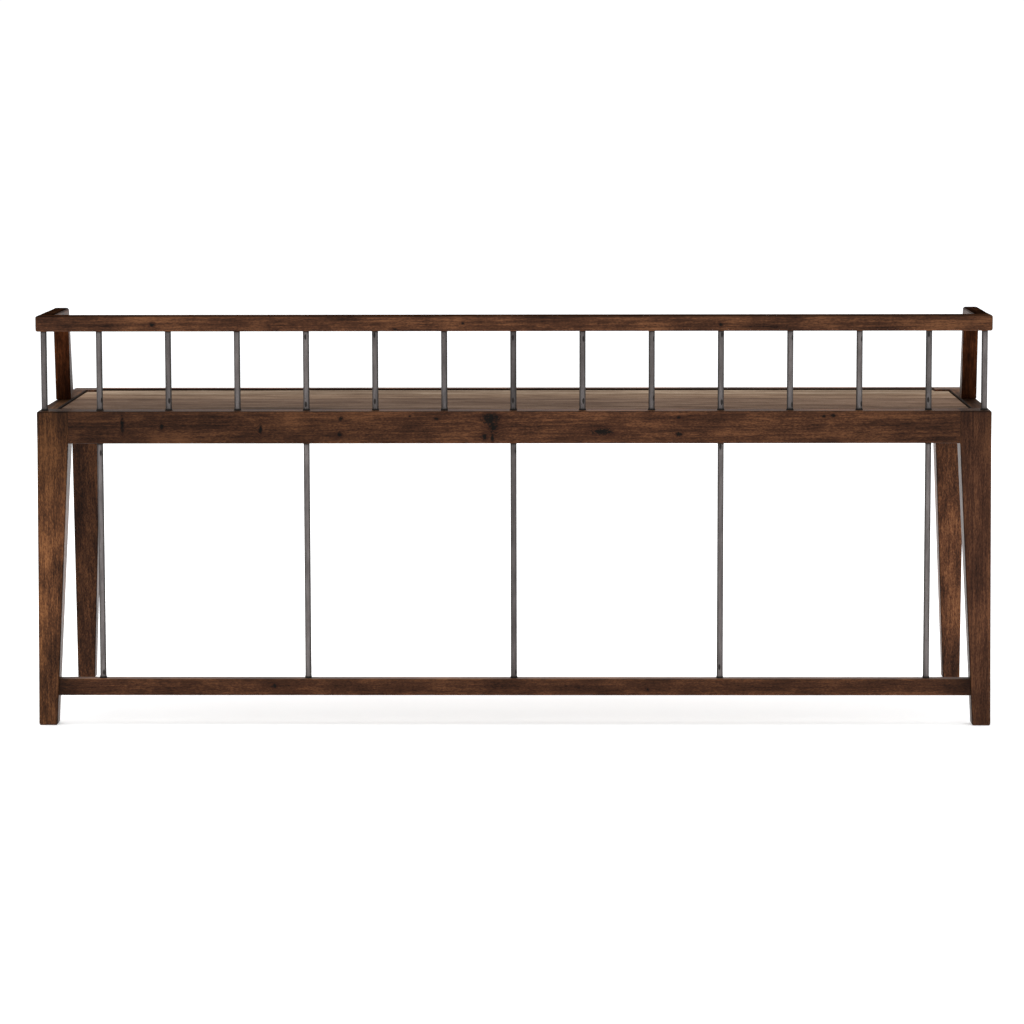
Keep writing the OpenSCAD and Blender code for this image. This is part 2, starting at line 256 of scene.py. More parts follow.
def outline(rect, radii):
    """Points round a rectangle with eased corners. Each is (u, v, worn), where worn is 1 on the rounding and
    0 on the flat beside it. Corners run (high u, low v), (high, high), (low, high), (low, low).
    """
    u0, u1, v0, v1 = rect
    lip = min(EDGE_LIP, (u1 - u0) / 4, (v1 - v0) / 4)
    points = []
    for k, (u, v) in enumerate(((u1, v0), (u1, v1), (u0, v1), (u0, v0))):
        r = radii[k]
        cu = u - r if u == u1 else u + r
        cv = v - r if v == v1 else v + r
        start = math.radians(90 * k - 90)
        tangent = (math.sin(start), -math.cos(start))
        first = (cu + r * math.cos(start), cv + r * math.sin(start))
        points.append((first[0] + lip * tangent[0], first[1] + lip * tangent[1], 0.0))
        for i in range(5):
            a = start + math.radians(22.5 * i)
            points.append((cu + r * math.cos(a), cv + r * math.sin(a), 0.55 if i in (0, 4) else 1.0))
        end = start + math.radians(90)
        last = (cu + r * math.cos(end), cv + r * math.sin(end))
        points.append((last[0] - lip * math.sin(end), last[1] + lip * math.cos(end), 0.0))
    return points


def between(stations):
    """Adds stations where those given are far apart. Each station is (place along, rect, radii, lean)."""
    full = [stations[0]]
    for a, b in zip(stations, stations[1:]):
        count = max(1, math.ceil(abs(b[0] - a[0]) / SECTION_STEP))
        for i in range(1, count + 1):
            w = i / count
            full.append(
                (
                    a[0] + (b[0] - a[0]) * w,
                    tuple(p + (q - p) * w for p, q in zip(a[1], b[1])),
                    tuple(p + (q - p) * w for p, q in zip(a[2], b[2])),
                    a[3] + (b[3] - a[3]) * w,
                )
            )
    return full


def straight(low, high, rect, radii):
    """Stations of a piece that keeps one section from end to end."""
    return [(low, rect, radii, 0.0), (high, rect, radii, 0.0)]


def rounded_end(station, radius, inwards):
    """Stations that round off one end of a piece over a radius, from its flat face to its full section."""
    t, rect, radii, lean = station
    made = []
    for angle in (0, 30, 60, 90):
        a = math.radians(angle)
        inset = radius * (1 - math.sin(a))
        along = radius * (1 - math.cos(a)) * inwards
        made.append(
            (
                t + along,
                (rect[0] + inset, rect[1] - inset, rect[2] + inset, rect[3] - inset),
                tuple(max(r - inset, 0.00005) for r in radii),
                lean,
            )
        )
    return made


def skin(bm, rings):
    """Faces between rings of points, from each ring to the next."""
    for a, b in zip(rings, rings[1:]):
        for i in range(len(a)):
            j = (i + 1) % len(a)
            bm.faces.new((a[i], a[j], b[j], b[i])).smooth = True


def shaped(name, axis, stations, ends, seed, run=(0, 0), uneven=0.00012, stain=(), dull=None):
    """A length of wood along an axis, through sections with eased edges. It keeps inside its sections, and
    the rounding changes a little along it, as hand sanding leaves it. Run is how far its grain drifts over
    each metre. The piece carries "grain", its place in the plank that it was cut from, "worn", its share of
    edge, "spot", its place in the bench, and "stain", how light it is, from pairs of (place along,
    lightness), times dull(normal), which paints shade on the faces that it picks out by their normal.
    """
    rng = random.Random(seed)
    pith = rng.uniform(0, 2 * math.pi)
    reach = rng.uniform(0.05, 0.11)
    offset = Vector((rng.uniform(1, 9), reach * math.cos(pith), reach * math.sin(pith)))
    first = rounded_end(stations[0], ends[0], 1)
    last = rounded_end(stations[-1], ends[1], -1)
    body = between([first[-1], *stations[1:-1], last[-1]])
    rows = first[:-1] + body + last[-2::-1]
    across, upright = [i for i in (X, Y, Z) if i != axis]
    bm = bmesh.new()
    grain = bm.verts.layers.float_vector.new("grain")
    worn = bm.verts.layers.float.new("worn")
    centre_v = (stations[0][1][2] + stations[0][1][3]) / 2

    def place(t, u, v, lean):
        p = Vector((0, 0, 0))
        p[axis] = t + lean * (v - centre_v)
        p[across] = u
        p[upright] = v
        return p

    def add_ring(t, lean, points):
        made = []
        for u, v, share in points:
            vert = bm.verts.new(place(t, u, v, lean))
            vert[grain] = Vector((t, u + run[0] * t, v + run[1] * t)) + offset
            vert[worn] = share
            made.append(vert)
        return made

    rings = []
    for index, (t, rect, radii, lean) in enumerate(rows):
        from_end = min(index, len(rows) - 1 - index)
        if from_end > 3:
            ease = 1 + 0.30 * noise.noise(Vector((t * 9, seed * 3.7, 0.5)))
            radii = tuple(r * ease for r in radii)
            waves = [noise.noise(Vector((t * 6, seed * 1.3 + k * 5.1, 2.0))) for k in range(4)]
            hollow = [uneven * (0.5 + 0.5 * wave) for wave in waves]
            rect = (rect[0] + hollow[0], rect[1] - hollow[1], rect[2] + hollow[2], rect[3] - hollow[3])
        edge = 1.0 if from_end in (1, 2) and max(ends) > 0.001 else 0.0
        section = [(u, v, max(share, edge)) for u, v, share in outline(rect, radii)]
        rings.append(add_ring(t, lean, section))
        if from_end == 0:
            shrink = min(END_INSET, (rect[1] - rect[0]) / 4, (rect[3] - rect[2]) / 4)
            small = (rect[0] + shrink, rect[1] - shrink, rect[2] + shrink, rect[3] - shrink)
            tight = tuple(max(r - shrink, 0.0001) for r in radii)
            cap = add_ring(t, lean, [(u, v, 0.0) for u, v, _ in outline(small, tight)])
            rings.insert(0 if index == 0 else len(rings), cap)
    skin(bm, rings)
    bm.faces.new(rings[0])
    bm.faces.new(rings[-1])
    bmesh.ops.recalc_face_normals(bm, faces=bm.faces)
    bm.normal_update()
    spot = bm.verts.layers.float_vector.new("spot")
    shade = bm.verts.layers.float.new("stain")
    # The stain attribute holds painted shade: dull(normal) darkens faces by the way they look, and some
    # pairs darken where shade falls
    for vert in bm.verts:
        vert[spot] = vert.co
        vert[shade] = lightness(stain, vert.co[axis]) * (dull(vert.normal) if dull else 1.0)
    # Faces that look up take the second material and, on pieces that don't run along X, faces that look
    # sideways the third: copies of the wood whose tint and gloss paint sheen and shade on them
    for face in bm.faces:
        face.smooth = True
        face.material_index = 1 if face.normal.z > 0.8 else 0
        if axis != X and abs(face.normal.x) > 0.9:
            face.material_index = 2
    mesh = bpy.data.meshes.new(name)
    bm.to_mesh(mesh)
    bm.free()
    return as_piece(name, mesh)


def painted_edge_shade(normal):
    """Painted shade: darker along the rounding between a piece's top face and its sides."""
    return 0.42 if 0.25 < normal.z < 0.97 else 1.0


def painted_shade_facing(axis, way, low, high, share, beside=None):
    """Painted shade on what looks one way along an axis, between two components of its normal. What is
    beside it is as light as beside says, or takes the painted shade of any top edge.
    """
    return lambda normal: share if low < normal[axis] * way < high else beside or painted_edge_shade(normal)


def lightness(stain, t):
    """Lightness at one place along a piece, from pairs of (place, lightness), which in places paint shade.
    """
    if not stain:
        return 1.0
    if t <= stain[0][0]:
        return stain[0][1]
    for (t0, a), (t1, b) in zip(stain, stain[1:]):
        if t <= t1:
            w = (t - t0) / (t1 - t0)
            w = w * w * (3 - 2 * w)
            return a + (b - a) * w
    return stain[-1][1]


def as_piece(name, mesh):
    """Puts a mesh in the scene, with its flat faces shaded flat up to their eased edges."""
    piece = bpy.data.objects.new(name, mesh)
    bpy.context.scene.collection.objects.link(piece)
    flats = piece.modifiers.new("flat_faces", "WEIGHTED_NORMAL")
    flats.keep_sharp = True
    flats.weight = 80
    return piece


def on_face(knots, corner):
    """Knots of a rear face, from (place along, place below the top, width, height) and its top corner."""
    return [((x, corner.y, corner.z - below), wide, high) for x, below, wide, high in knots]


def fit(piece, node, slot, material, upper=None, side=None):
    """Lets a finished piece stand for its CAD node. Its top faces and sides may have other materials, copies
    of the wood that paint sheen and shade on them.
    """
    piece.data.materials.append(material)
    if slot != "iron":
        piece.data.materials.append(upper or material)
        piece.data.materials.append(side or material)
    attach(piece, "root")
    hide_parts(node)


# ---- node trees ----


class Nodes:
    """A node tree, with short ways to add the nodes that the finishes and the surroundings use."""

    def __init__(self, tree):
        self.tree = tree
        tree.nodes.clear()

    def put(self, socket, value):
        if isinstance(value, bpy.types.NodeSocket):
            self.tree.links.new(value, socket)
        elif hasattr(value, "__len__") and len(socket.default_value) == 4 and len(value) == 3:
            socket.default_value = (*value, 1.0)
        else:
            socket.default_value = value

    def node(self, kind, *values):
        """A new node, with values for its first inputs."""
        made = self.tree.nodes.new("ShaderNode" + kind)
        for socket, value in zip(made.inputs, values):
            self.put(socket, value)
        return made

    def math(self, operation, *values, clamp=False):
        made = self.node("Math", *values)
        made.operation = operation
        made.use_clamp = clamp
        return made.outputs[0]

    def vector(self, operation, a, b=(0, 0, 0)):
        made = self.node("VectorMath", a)
        made.operation = operation
        self.put(made.inputs["Scale" if operation == "SCALE" else 1], b)
        return made.outputs["Value" if operation == "LENGTH" else "Vector"]

    def split(self, vector):
        return self.node("SeparateXYZ", vector).outputs

    def noise(self, place, stretch, detail=2.0, rough=0.5, distort=0.0, output="Fac"):
        """Noise over a place, which three factors stretch first."""
        made = self.node("TexNoise", self.vector("MULTIPLY", place, stretch))
        values = {"Scale": 1.0, "Detail": detail, "Roughness": rough, "Distortion": distort}
        for name, value in values.items():
            made.inputs[name].default_value = value
        return made.outputs[output]

    def spread(self, value, low, high, to_low=0.0, to_high=1.0):
        """Runs smoothly from to_low to to_high as the value runs from low to high."""
        made = self.node("MapRange", value, low, high, to_low, to_high)
        made.interpolation_type = "SMOOTHSTEP"
        return made.outputs[0]

    def vary(self, value, pattern, amount):
        """A value, moved by an amount times a pattern's distance from its middle."""
        return self.math("MULTIPLY_ADD", self.math("SUBTRACT", pattern, 0.5), amount, value)

    def blend(self, share, a, b, most=1.0):
        """Colour a, with b laid over it by a share of the most that b may cover."""
        made = self.tree.nodes.new("ShaderNodeMix")
        made.data_type = "RGBA"
        if most != 1.0:
            share = self.math("MULTIPLY", share, most)
        for index, value in ((0, share), (6, a), (7, b)):
            self.put(made.inputs[index], value)
        return made.outputs[2]

    def ramp(self, value, stops):
        made = self.node("ValToRGB", value)
        elements = made.color_ramp.elements
        while len(elements) < len(stops):
            elements.new(0.5)
        for element, (position, colour) in zip(elements, stops):
            element.position = position
            element.color = (*colour, 1.0)
        return made.outputs["Color"]


class Finish(Nodes):
    """A material with one surface."""

    def __init__(self, name):
        self.material = bpy.data.materials.new(name)
        self.material.use_nodes = True
        super().__init__(self.material.node_tree)
        self.surface = self.node("BsdfPrincipled")
        self.node("OutputMaterial", self.surface.outputs[0])

    def attribute(self, name, output="Vector"):
        made = self.tree.nodes.new("ShaderNodeAttribute")
        made.attribute_name = name
        return made.outputs[output]

    def object_place(self):
        return self.node("TexCoord").outputs["Object"]

    def bump(self, height, strength, distance):
        made = self.tree.nodes.new("ShaderNodeBump")
        for name, value in (("Strength", strength), ("Distance", distance), ("Height", height)):
            self.put(made.inputs[name], value)
        self.tree.links.new(made.outputs[0], self.surface.inputs["Normal"])

    def set(self, values):
        for name, value in values.items():
            self.put(self.surface.inputs[name], value)


# ---- the finishes ----


def darker(colour, share):
    """A colour times one share, or times a share for each of red, green and blue."""
    shares = share if isinstance(share, tuple) else (share,) * 3
    return tuple(c * m for c, m in zip(colour, shares))


def stained_wood(
    name, finish, tone=1.0, knots=(), figure=1.0, gloss=0.06, streak=1.0, cloud=1.0, speckle=0.35
):
    """Dark stained wood. Its grain runs along the first of the grain coordinates, round a pith outside the
    piece. Tone lightens the whole piece, and figure, streak, cloud and speckle strengthen its patterns.
    Knots are (place in the bench, width, height), with the grain bent round them.
    """
    s = Finish(name)
    grain = s.attribute("grain")
    worn = s.attribute("worn", "Fac")
    stain = s.attribute("stain", "Fac")
    place = s.attribute("spot")
    drift = s.noise(grain, (2.6, 9, 9), 1.5, output="Color")
    sway = s.vector("SUBTRACT", drift, (0.5, 0.5, 0.5))
    bent = s.vector("ADD", grain, s.vector("MULTIPLY", sway, (0.0, GRAIN_SWAY, GRAIN_SWAY)))
    heart = 0.0
    halo = 0.0
    for centre, wide, high in knots:
        away = s.vector("SUBTRACT", place, centre)
        spread = s.vector("LENGTH", s.vector("MULTIPLY", away, (2 / wide, 2 / high, 2 / high)))
        ragged = s.vary(spread, s.noise(place, (210, 230, 230), 4.0, 0.75), 3.6)
        heart = s.math("MAXIMUM", heart, s.spread(ragged, 1.25, 0.55))
        around = s.spread(spread, 2.6, 0.7)
        halo = s.math("MAXIMUM", halo, around)
        bent = s.vector("ADD", bent, s.vector("SCALE", s.vector("MULTIPLY", away, (0, -0.6, -0.6)), around))
    parts = s.split(bent)
    pith = s.math("SQRT", s.math("ADD", s.math("POWER", parts["Y"], 2.0), s.math("POWER", parts["Z"], 2.0)))
    rings = s.spread(s.math("SINE", s.math("MULTIPLY", pith, 2 * math.pi / RING_PITCH)), -0.6, 1.0)
    bands = s.noise(bent, (2.4, 60, 60), 3.0, 0.55)
    streaks = s.noise(bent, (9, 330, 330), 3.0, 0.6)
    flecks = s.noise(bent, (55, 820, 820), 2.0, 0.6)
    pore = s.spread(s.noise(bent, (95, 1300, 1300), 1.0), 0.60, 0.70)
    clouds = s.noise(grain, (11, 30, 30), 4.0, 0.6)
    dots = s.noise(bent, (240, 620, 620), 2.0, 0.6)
    tone_at = 0.0
    for pattern, amount in (
        (rings, 0.07 * figure),
        (bands, 0.80 * streak),
        (streaks, 1.00 * streak),
        (flecks, 0.80 * figure),
        (dots, 1.10 * speckle),
        (clouds, 1.35 * cloud),
    ):
        tone_at = s.vary(tone_at, pattern, amount)
    tone_at = s.math("ADD", tone_at, 0.5, clamp=True)
    levels = ((0.08, finish.dark), (0.48, finish.middle), (0.92, finish.light))
    colour = s.ramp(tone_at, [(position, darker(c, tone)) for position, c in levels])
    colour = s.blend(pore, colour, darker(finish.dark, 0.7), 0.5)
    speck = s.math("MULTIPLY", s.spread(dots, 0.66, 0.74), s.spread(bands, 0.56, 0.44))
    colour = s.blend(speck, colour, darker(finish.dark, 0.5), 0.8)
    if knots:
        colour = s.blend(halo, colour, KNOT_HALO, 0.5)
        colour = s.blend(heart, colour, finish.knot, 0.95)
    rub = s.spread(s.noise(grain, (28, 90, 90), 3.0, 0.6), 0.45, 0.72)
    rub = s.math("MULTIPLY", rub, s.math("MULTIPLY", worn, 0.35))
    colour = s.blend(rub, colour, darker(finish.light, tone))
    # The stain attribute scales the colour, and with it the painted shade that the piece carries
    colour = s.vector("SCALE", colour, stain)
    rough = s.vary(finish.roughness, flecks, 0.30)
    rough = s.math("MULTIPLY_ADD", pore, 0.12, rough)
    rough = s.math("MULTIPLY_ADD", rub, -0.10, rough)
    s.set({"Base Color": colour, "Roughness": rough, "IOR": 1.5, "Specular IOR Level": gloss})
    s.bump(s.math("MULTIPLY_ADD", pore, -1.0, s.math("MULTIPLY", flecks, 0.6)), 0.16, 0.0004)
    return s.material


def plain_wood(name, along):
    """Unfinished softwood of the parts under the seat. Along is the axis of its grain."""
    s = Finish(name)
    place = s.object_place()
    stretch = [1.0, 1.0, 1.0]
    stretch[along] = 0.07
    lines = s.noise(place, tuple(90 * v for v in stretch), 4.0, 0.6, distort=0.4)
    fibres = s.noise(place, tuple(700 * v for v in stretch), 2.0, 0.6)
    value = s.math("MULTIPLY_ADD", lines, 1.2, -0.1)
    value = s.vary(value, s.noise(place, (9, 9, 9)), 0.5)
    levels = ((0.15, (0.24, 0.14, 0.07)), (0.55, (0.42, 0.28, 0.16)), (0.9, (0.56, 0.41, 0.26)))
    colour = s.ramp(value, levels)
    s.set({"Base Color": colour, "Roughness": s.math("MULTIPLY_ADD", fibres, 0.25, 0.5)})
    s.bump(fibres, 0.2, 0.0004)
    return s.material


def waxed_iron(name, finish):
    """Drawn round iron under wax: grey, streaked along the bar, with dark scale and pits, and painted shade
    on its sides and at its ends.
    """
    s = Finish(name)
    bar = s.attribute("bar")
    foot = s.attribute("foot", "Fac")
    sideways_shade = s.attribute("sideways_shade", "Fac")
    spot = s.attribute("spot")
    cloud = s.noise(bar, (160, 160, 26), 4.0, 0.6)
    line = s.noise(bar, (900, 900, 40), 3.0, 0.6)
    grit = s.noise(bar, (1400, 1400, 1400), 2.0, 0.6)
    dirt = s.noise(bar, (420, 420, 240), 3.0, 0.7)
    base = s.blend(s.spread(cloud, 0.30, 0.72), darker(finish.colour, 0.78), darker(finish.colour, 1.34))
    base = s.blend(s.spread(line, 0.5, 0.8), base, darker(finish.colour, 1.7), 0.35)
    base = s.blend(s.spread(dirt, 0.45, 0.75), base, darker(finish.colour, (1.05, 0.92, 0.82)), 0.5)
    scale = s.math("MULTIPLY", s.spread(dirt, 0.63, 0.72), 0.75)
    base = s.blend(scale, base, finish.scale)
    base = s.vector("SCALE", base, s.attribute("stain", "Fac"))
    # Painted shade on the sides of the bar, in a darkened scale colour
    base = s.blend(sideways_shade, base, darker(finish.scale, 0.55), 0.90)
    pits = 0.0
    for mark in ("mark_low", "mark_high"):
        # A pit is longer along the bar than it is wide
        away = s.vector("MULTIPLY", s.vector("SUBTRACT", spot, s.attribute(mark)), (1.0, 1.0, 0.42))
        edge = s.math("MULTIPLY_ADD", grit, 0.0012, s.vector("LENGTH", away))
        pits = s.math("MAXIMUM", pits, s.spread(edge, 0.0030, 0.0020))
    base = s.blend(pits, base, darker(finish.scale, 0.35), 0.9)
    # Painted shade at both ends of the bar, where it meets the wood
    base = s.blend(foot, base, darker(finish.scale, 0.25), 0.95)
    dull = s.math("MAXIMUM", scale, pits)
    rough = s.math("MULTIPLY_ADD", dull, 0.25, s.math("MULTIPLY_ADD", line, 0.22, 0.36))
    # Scale, pits and the painted shade at the ends and on the sides are less metallic
    scale_and_shade = s.math("MAXIMUM", dull, s.math("MAXIMUM", foot, sideways_shade))
    s.set(
        {
            "Base Color": base,
            "Roughness": rough,
            "Metallic": s.math("MULTIPLY_ADD", scale_and_shade, -0.56, 0.60),
            "Specular IOR Level": 0.10,
            "Specular Tint": (0.35, 0.34, 0.33),
        }
    )
    height = s.math("MULTIPLY_ADD", line, 0.5, s.math("MULTIPLY", grit, 0.5))
    s.bump(s.math("MULTIPLY_ADD", pits, -2.0, height), 0.25, 0.0003)
    return s.material


def zinc_plate(name):
    """Zinc-plated steel of the screws and bolts, dulled and lightly scratched."""
    s = Finish(name)
    place = s.object_place()
    cloud = s.noise(place, (220, 220, 220), 3.0, 0.6)
    scratch = s.noise(place, (2600, 300, 900), 3.0, 0.6)
    colour = s.blend(cloud, (0.42, 0.42, 0.44), (0.66, 0.65, 0.63))
    s.set({"Base Color": colour, "Roughness": s.math("MULTIPLY_ADD", scratch, 0.3, 0.22), "Metallic": 1.0})
    s.bump(scratch, 0.15, 0.0002)
    return s.material


def studio_floor(name, colour):
    """Matt pale floor that gives a little light of its own, with a very slight unevenness in its sheen."""
    s = Finish(name)
    cloud = s.noise(s.object_place(), (1.5, 1.5, 1.5))
    s.set(
        {
            "Base Color": colour,
            "Roughness": s.math("MULTIPLY_ADD", cloud, 0.1, 0.8),
            "Emission Color": (1.0, 1.0, 1.0),
            "Emission Strength": 0.33,
            "Specular IOR Level": 0.1,
        }
    )
    return s.material


# ---- the pieces ----


class BENCH_OT_legs(bpy.types.Operator):
    """Build the four tapered legs"""

    bl_idname = "bench.legs"
    bl_label = "Legs"
    bl_options = {"REGISTER", "UNDO"}

    def execute(self, context):
        wood = context.scene.bench_wood
        rail_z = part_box("rear_rail")[0].z
        rail_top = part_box("rear_rail")[1].z
        # How light each leg is, from the foot up
        stains = {
            "rear_leg_left": ((0.0, 0.52), (0.20, 0.82), (0.40, 0.70), (0.46, 0.50), (rail_top, 0.45)),
            "rear_leg_right": (
                (0.0, 0.82), (0.09, 0.90), (0.20, 1.36), (0.32, 1.28), (0.43, 0.64), (rail_top, 0.44),
            ),
            "front_leg_left": ((0.0, 1.10), (0.25, 1.28), (0.42, 0.80), (rail_top, 0.9)),
            "front_leg_right": ((0.0, 0.72), (0.25, 0.52), (0.42, 0.45), (rail_top, 0.6)),
        }
        crown = 0.0030
        # The free edges' full rounding ends just below the rails
        below = rail_z - 0.006
        seed = 10
        for end in ("rear", "front"):
            for side, sign in SIDES:
                node = f"{end}_leg_{side}"
                seed += 1
                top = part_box(node)[1].z
                foot_lo, foot_hi = level(node, 0.0)
                mid_lo, mid_hi = level(node, rail_z)
                foot = (foot_lo.x, foot_hi.x, foot_lo.y, foot_hi.y)
                full = (mid_lo.x, mid_hi.x, mid_lo.y, mid_hi.y)
                free = (wood.arris,) * 4
                # Beside the rails, only the edge at the outer corner keeps its full rounding
                outer = {("rear", 1): 1, ("rear", -1): 2, ("front", 1): 0, ("front", -1): 3}[(end, sign)]
                held = tuple(wood.arris if k == outer else wood.seam for k in range(4))
                stations = [
                    (0.0, foot, free, 0.0),
                    (below, tuple(a + (b - a) * below / rail_z for a, b in zip(foot, full)), free, 0.0),
                    (rail_z, full, held, 0.0),
                ]
                # The outer sides round over at the top, where the rails hold the other two
                for angle in (0, 30, 60, 80):
                    a = math.radians(angle)
                    inset = crown * (1 - math.cos(a))
                    outer_x = (0.0, -inset) if sign > 0 else (inset, 0.0)
                    outer_y = (0.0, -inset) if end == "rear" else (inset, 0.0)
                    rect = tuple(v + d for v, d in zip(full, (*outer_x, *outer_y)))
                    stations.append((top - crown * (1 - math.sin(a)), rect, held, 0.0))
                rng = random.Random(seed)
                run = (rng.uniform(-0.03, 0.03), rng.uniform(-0.03, 0.03))
                ends = (FREE_END, LEAST)
                # Painted shade on the inner sides, which face away from the light, and along the rounding at
                # the top
                dull = painted_shade_facing(X, -sign, 0.2, 0.95, 0.45)
                piece = shaped(node + "_shaped", Z, stations, ends, seed, run, stain=stains[node], dull=dull)
                look = {"figure": 1.1, "streak": 0.55, "cloud": 1.25, "speckle": 1.0}
                if node == "rear_leg_right":
                    look["tone"] = (1.0, 1.0, 0.88)
                if node == "rear_leg_left":
                    look.update(tone=(0.98, 0.98, 1.04), figure=0.8, cloud=0.75, speckle=0.7)
                material = stained_wood(f"leg_wood_{end}_{side}", wood, **look)
                # The tops take a tinted copy of the wood, lighter on the front legs as a painted sheen, and
                # the sides a glossier copy
                top_light_shade_tone = (0.9, 1.0, 1.0) if end == "rear" else (1.1, 1.25, 1.25)
                upper = stained_wood(f"leg_upper_wood_{end}_{side}", wood, tone=top_light_shade_tone)
                waxed = stained_wood(f"leg_side_sheen_wood_{end}_{side}", wood, gloss=0.32, **look)
                fit(piece, node, "frame_wood", material, upper, waxed)
        return {"FINISHED"}


class BENCH_OT_seat_frame(bpy.types.Operator):
    """Build the four rails of the seat frame and the stretcher"""

    bl_idname = "bench.seat_frame"
    bl_label = "Seat Frame"
    bl_options = {"REGISTER", "UNDO"}

    def execute(self, context):
        wood = context.scene.bench_wood
        self.long_rails(wood)
        self.side_rails(wood)
        self.stretcher(wood)
        return {"FINISHED"}

    def long_rails(self, wood):
        ends = (wood.seam, wood.seam)
        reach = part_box("rear_leg_right")[0].x
        rear_stain = ((-reach, 0.62), (-0.45, 0.70), (-0.2, 0.82), (0.0, 0.76), (0.3, 0.56), (reach, 0.44))
        front_stain = ((-reach, 0.85), (reach, 0.85))
        look = {"figure": 0.75, "streak": 0.80, "cloud": 0.95, "speckle": 0.8}
        # The knots in the rear rail's show face: (place along, place below its top, width, height)
        knots = (
            (0.0366, 0.012, 0.026, 0.018), (0.0325, 0.025, 0.012, 0.018),
            (0.0460, 0.041, 0.009, 0.009), (0.0330, 0.043, 0.005, 0.013),
            (-0.142, 0.033, 0.034, 0.010), (0.625, 0.022, 0.005, 0.026),
            (0.562, 0.024, 0.005, 0.009), (0.404, 0.029, 0.005, 0.016),
            (0.276, 0.011, 0.008, 0.006), (0.278, 0.037, 0.007, 0.007),
            (0.165, 0.008, 0.004, 0.003), (0.123, 0.012, 0.006, 0.004),
            (-0.264, 0.037, 0.009, 0.008), (-0.264, 0.010, 0.007, 0.004),
            (-0.495, 0.009, 0.006, 0.004), (-0.510, 0.007, 0.007, 0.005),
        )
        # The rounding of its top's rear edge, the way to the seat, its lightness along it, its top's tone,
        # which paints a sheen there, and its knots
        for node, seed, rear_edge, way, stain, top_light_shade_tone, marks in (
            ("rear_rail", 21, 0.0012, -1, rear_stain, (1.05, 1.10, 1.08), knots),
            ("front_rail", 22, 0.0016, 1, front_stain, 1.5, ()),
        ):
            lo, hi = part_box(node)
            radii = (wood.arris, rear_edge, 0.0008, wood.arris)
            stations = straight(-reach, reach, (lo.y, hi.y, lo.z, hi.z), radii)
            # Painted shade on the face towards the seat, which stands above the boards, and along the
            # rounding of its top
            dull = painted_shade_facing(Y, way, 0.3, math.inf, 0.12)
            piece = shaped(node + "_shaped", X, stations, ends, seed, (0.004, 0.010), stain=stain, dull=dull)
            material = stained_wood(node + "_wood", wood, knots=on_face(marks, hi), **look)
            # Its top is a lighter copy of the wood, a painted sheen
            upper = stained_wood(node + "_upper_wood", wood, tone=top_light_shade_tone)
            fit(piece, node, "frame_wood", material, upper)

    def side_rails(self, wood):
        r = wood.arris
        inside = 0.0010
        for side, sign in SIDES:
            node = f"side_rail_{side}"
            lo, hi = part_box(node)
            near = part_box(f"rear_leg_{side}")[0].y
            far = level(f"front_leg_{side}", hi.z)[1].y
            post_lo, post_hi = level(f"arm_post_{side}", hi.z)
            # Painted shade round the foot of the arm post, lighter towards the front
            waxed = ((post_lo.y - 0.03, 1.25), (post_lo.y, 0.35), (post_hi.y, 0.40))
            stain = ((far, 1.7), *waxed, (near, 1.2))
            radii = (r, r, inside, inside) if sign > 0 else (inside, inside, r, r)
            stations = straight(far, near, (lo.x, hi.x, lo.z, hi.z), radii)
            ends = (wood.seam, wood.seam)
            # Painted shade on the inner face, which stands above the boards
            dull = painted_shade_facing(X, -sign, 0.3, math.inf, 0.10, beside=1.0)
            run = (0.006, 0.012)
            piece = shaped(node + "_shaped", Y, stations, ends, 23 + sign, run, stain=stain, dull=dull)
            material = stained_wood(f"side_rail_wood_{side}", wood, tone=0.85)
            # Its top is a darker copy of the wood, painted shade
            upper = stained_wood(f"side_rail_upper_wood_{side}", wood, tone=(0.46, 0.53, 0.52), gloss=0.01)
            fit(piece, node, "frame_wood", material, upper)

    def stretcher(self, wood):
        """The rear legs taper, so its ends lean to follow them."""
        lo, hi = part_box("stretcher")
        rect = (lo.y, hi.y, lo.z, hi.z)
        middle = (lo.z + hi.z) / 2
        reach = inner_face(middle)
        slope = (inner_face(hi.z) - inner_face(lo.z)) / (hi.z - lo.z)
        radii = (0.0018,) * 4
        stations = [(-reach, rect, radii, -slope), (reach, rect, radii, slope)]
        stain = ((-reach, 0.3), (-reach + 0.010, 1.0), (reach - 0.010, 1.0), (reach, 0.3))
        ends = (wood.seam, wood.seam)
        piece = shaped("stretcher_shaped", X, stations, ends, 27, (0.0, 0.006), stain=stain)
        knots = on_face(((0.385, 0.011, 0.008, 0.006), (-0.215, 0.017, 0.007, 0.005)), hi)
        look = {"figure": 0.7, "streak": 0.45, "cloud": 0.9, "speckle": 0.8}
        material = stained_wood("stretcher_wood", wood, tone=0.74, knots=knots, **look)
        # Its top is a lighter, glossier copy of the wood, a painted sheen
        upper = stained_wood("stretcher_upper_wood", wood, tone=(1.5, 1.7, 1.8), gloss=0.25)
        fit(piece, "stretcher", "frame_wood", material, upper)


